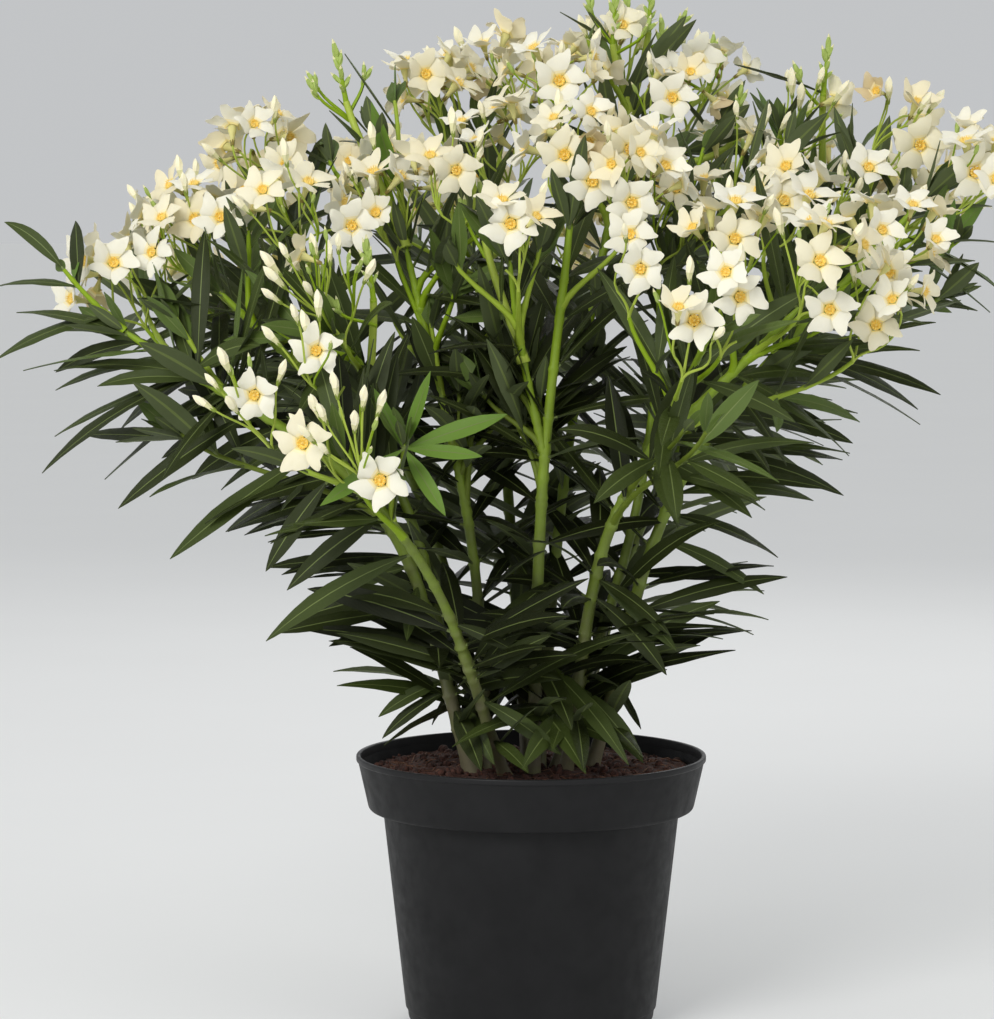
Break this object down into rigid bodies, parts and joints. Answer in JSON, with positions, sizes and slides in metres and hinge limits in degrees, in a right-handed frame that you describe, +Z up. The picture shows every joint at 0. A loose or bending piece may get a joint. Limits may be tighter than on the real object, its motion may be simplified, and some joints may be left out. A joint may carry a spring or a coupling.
{
  "type": "potted oleander",
  "caption": "Flowering oleander shrub in a round nursery pot: leaning stems that fork into boughs, masses of narrow leaves and heads of pale blossom.",
  "frame": {"origin": "middle of the pot's flat underside", "axes": "+Z up; -Y is the plant's front, +X is to the right seen from the front"},
  "size_m": [0.8008, 0.667, 0.8578],
  "materials": {
    "pot_plastic": "matte moulded black plastic",
    "potting_soil": "loose fibrous reddish-brown soil",
    "green_bark": "smooth green bark, browner at the foot",
    "leaves": "leathery dark green leaves with a pale midrib",
    "blossom": "soft cream petals with a yellow throat"
  },
  "bodies": {
    "root": {"blossom_back": "blossom", "blossom_back_far": "blossom", "blossom_back_left": "blossom", "blossom_back_right": "blossom", "blossom_centre": "blossom", "blossom_centre_front": "blossom", "blossom_crown_back": "blossom", "blossom_crown_left": "blossom", "blossom_crown_right": "blossom", "blossom_front_left": "blossom", "blossom_front_low": "blossom", "blossom_front_right": "blossom", "blossom_heart": "blossom", "blossom_left": "blossom", "blossom_left_high": "blossom", "blossom_left_inner": "blossom", "blossom_left_mid": "blossom", "blossom_left_tip": "blossom", "blossom_right": "blossom", "blossom_right_high": "blossom", "blossom_right_inner": "blossom", "blossom_right_top": "blossom", "bough_back": "green_bark", "bough_centre_left": "green_bark", "bough_front_right": "green_bark", "bough_left_up": "green_bark", "leaves_crown": "leaves", "leaves_heart": "leaves", "leaves_low_back": "leaves", "leaves_low_front": "leaves", "leaves_low_left": "leaves", "leaves_low_right": "leaves", "leaves_mid_back_left": "leaves", "leaves_mid_back_right": "leaves", "leaves_mid_front": "leaves", "leaves_mid_front_right": "leaves", "leaves_mid_left": "leaves", "leaves_mid_right": "leaves", "leaves_upper_back": "leaves", "leaves_upper_back_left": "leaves", "leaves_upper_back_right": "leaves", "leaves_upper_left": "leaves", "leaves_upper_right": "leaves", "pot": "pot_plastic", "soil": "potting_soil", "sprout_crown": "leaves", "sprout_left": "leaves", "stem_back": "green_bark", "stem_back_left": "green_bark", "stem_back_right": "green_bark", "stem_centre": "green_bark", "stem_centre_left": "green_bark", "stem_centre_right": "green_bark", "stem_crown": "green_bark", "stem_left": "green_bark", "stem_left_front": "green_bark", "stem_left_low": "green_bark", "stem_right": "green_bark", "stem_right_far": "green_bark"}
  },
  "joints": []
}
